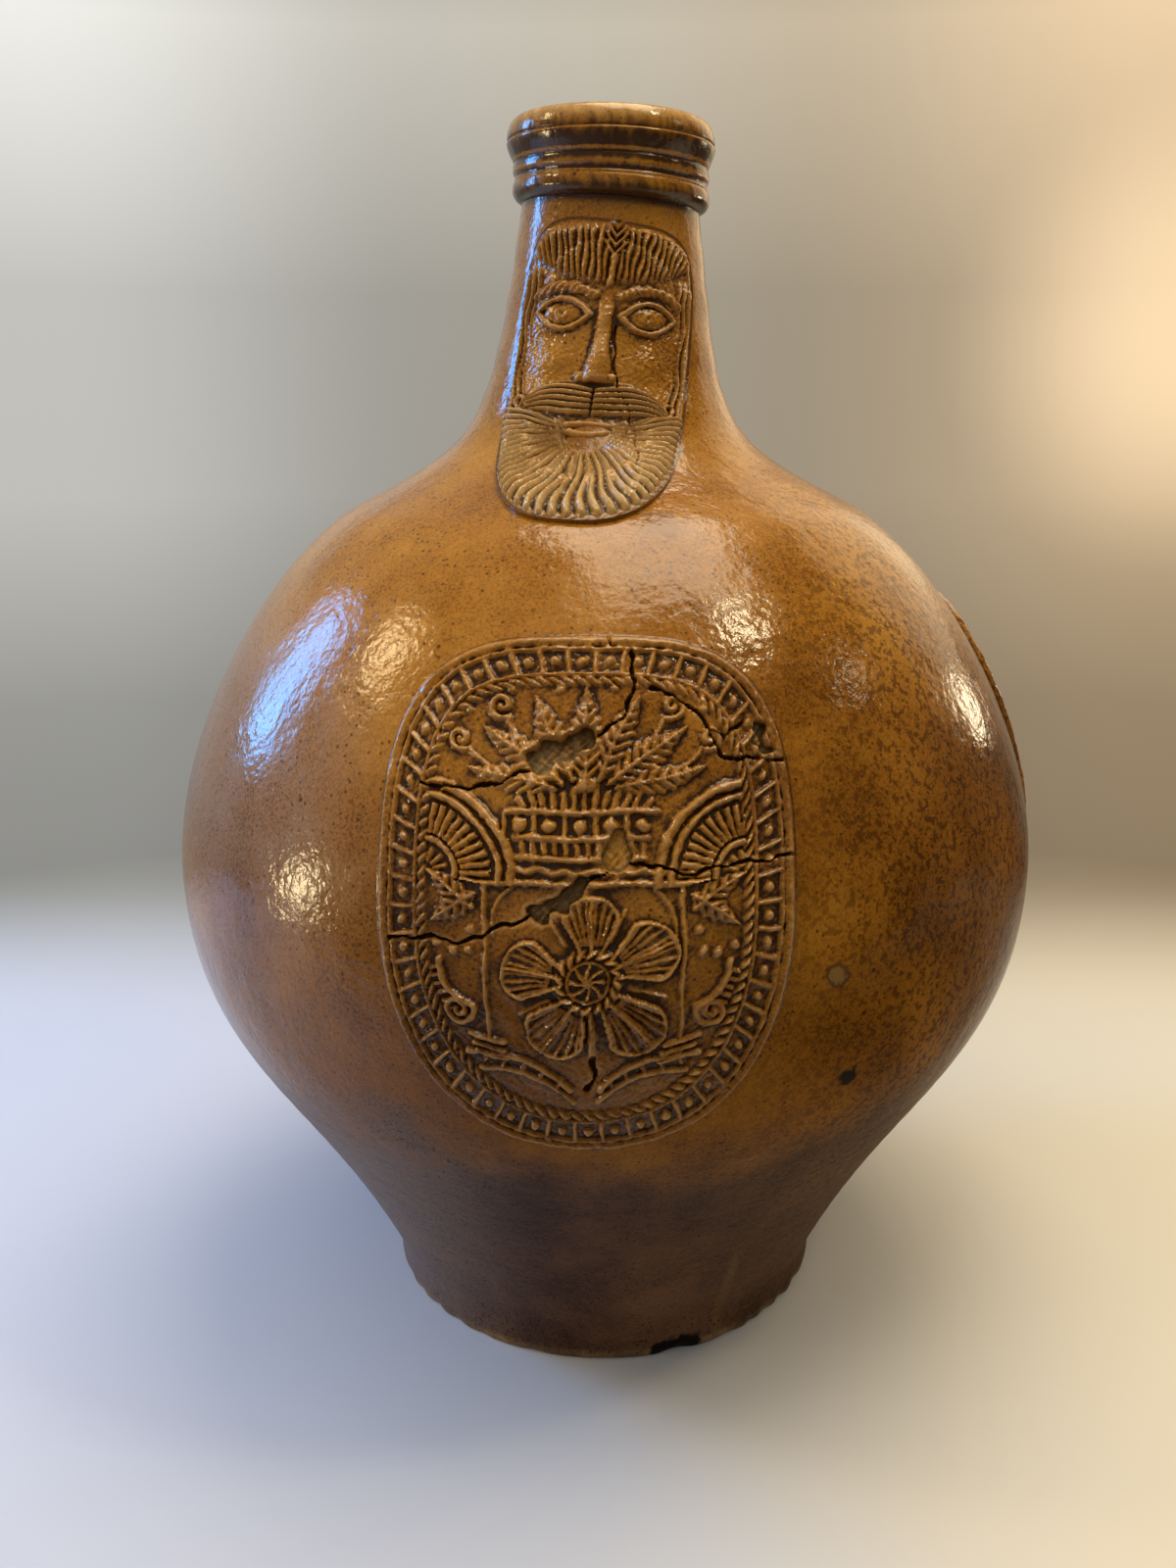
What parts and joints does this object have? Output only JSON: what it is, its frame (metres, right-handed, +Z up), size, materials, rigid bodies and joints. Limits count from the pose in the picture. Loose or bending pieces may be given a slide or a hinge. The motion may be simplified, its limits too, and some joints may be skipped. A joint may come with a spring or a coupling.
{
  "type": "bartmann jug",
  "caption": "Round-bellied stoneware jug with a narrow ringed neck, a strap handle, a bearded mask on the neck and oval medallions on the belly",
  "frame": {"origin": "centre of the flat base, on the axis of the jug", "axes": "+Z up along the axis of the jug, -Y towards the front with the mask, +X to the right as seen from the front"},
  "size_m": [0.2574, 0.2545, 0.34],
  "materials": {
    "dark_glaze": "thin salt glaze, purple-grey brown below and speckled brown above",
    "brown_glaze": "glossy speckled honey-brown salt glaze",
    "relief_glaze": "glossy brown salt glaze, darker in the hollows of the relief"
  },
  "bodies": {
    "root": {"lower_body": "dark_glaze", "upper_body": "brown_glaze", "neck": "brown_glaze", "handle": "brown_glaze", "mask": "relief_glaze", "front_medallion": "relief_glaze", "right_medallion": "relief_glaze", "left_medallion": "relief_glaze"}
  },
  "joints": []
}
